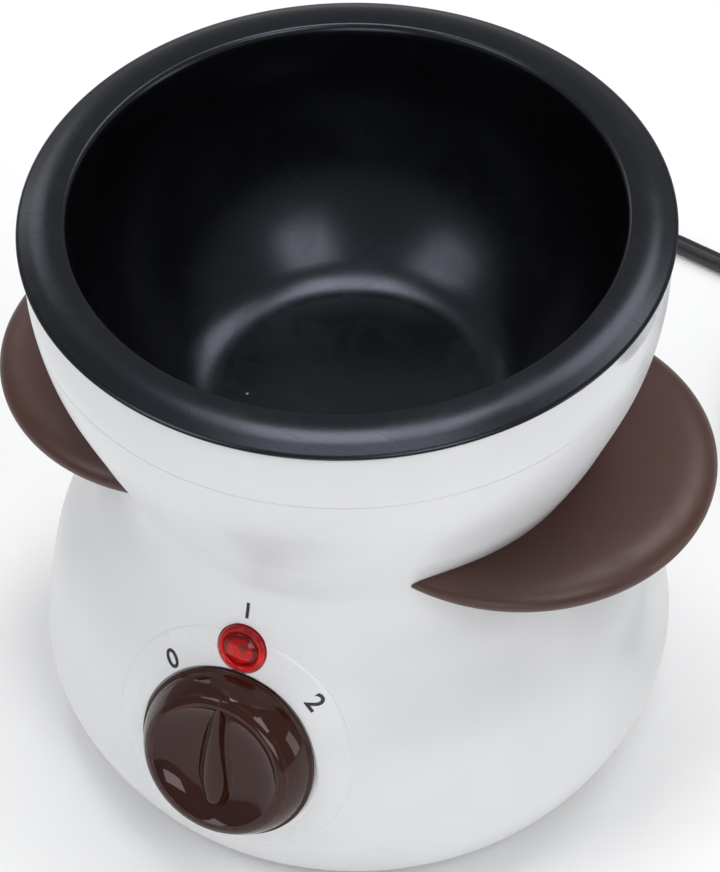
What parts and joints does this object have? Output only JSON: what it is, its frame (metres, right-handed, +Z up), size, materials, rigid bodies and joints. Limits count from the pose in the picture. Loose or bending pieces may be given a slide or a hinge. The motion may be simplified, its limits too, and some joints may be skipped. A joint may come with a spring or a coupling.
{
  "type": "electric fondue pot",
  "caption": "Tabletop electric melting pot: lift-out coated bowl in a waisted moulded body with side grips, rotary dial, indicator lamp and mains lead.",
  "frame": {"origin": "on the table plane under the feet, on the vertical axis of the pot", "axes": "+X towards the right handle seen from the front, -Y towards the dial, +Z up along the pot's axis"},
  "size_m": [0.207, 0.2354, 0.142],
  "materials": {
    "pot_coating": "satin non-stick coating",
    "body_white": "satin white moulding",
    "collar_white": "satin white moulding",
    "handle_brown": "fine satin texture",
    "screw_steel": "zinc plated",
    "panel_white": "satin white moulding",
    "knob_brown": "high gloss",
    "shaft_steel": "turned",
    "switch_plastic": "natural",
    "lens_red": "clear red",
    "lamp_glow": "lit neon",
    "heater_aluminium": "cast, turned on top",
    "element_sheath": "dull sheath",
    "shield_steel": "bare pressed sheet",
    "thermostat_black": "moulded",
    "fuse_sleeve": "glass sleeve",
    "cover_grey": "fine texture",
    "foot_rubber": "moulded",
    "clamp_grey": "moulded",
    "cord_black": "satin sheath",
    "tie_black": "moulded",
    "plug_black": "moulded",
    "pin_steel": "nickel plated"
  },
  "bodies": {
    "base": {"body_shell": "body_white", "top_collar": "collar_white", "handle_left": "handle_brown", "handle_right": "handle_brown", "handle_screws": "screw_steel", "dial_panel": "panel_white", "rotary_switch": "switch_plastic", "switch_screws": "screw_steel", "indicator_lens": "lens_red", "indicator_lamp": "lamp_glow", "lens_clip": "screw_steel", "heater_plate": "heater_aluminium", "heating_element": "element_sheath", "heat_shield": "shield_steel", "thermostat": "thermostat_black", "thermal_fuse": "fuse_sleeve", "base_cover": "cover_grey", "base_screws": "screw_steel", "rubber_feet": "foot_rubber", "terminal_block": "switch_plastic", "cord_clamp": "clamp_grey", "inner_lead": "cord_black", "strain_relief": "cord_black", "cord_lead": "cord_black", "cord_coil": "cord_black", "cord_tie": "tie_black", "plug_body": "plug_black", "plug_pins": "pin_steel"},
    "pot": {"inner_pot": "pot_coating"},
    "dial": {"knob": "knob_brown", "knob_shaft": "shaft_steel"}
  },
  "joints": [
    {"name": "pot_lift", "type": "slide", "parent": "base", "child": "pot", "axis": [0, 0, 1], "range_m": [0, 0.08]},
    {"name": "knob_turn", "type": "hinge", "parent": "base", "child": "dial", "pos_m": [0, -0.06654, 0.0426], "axis": [0, -0.9397, 0.342], "range_deg": [-45, 45]}
  ]
}
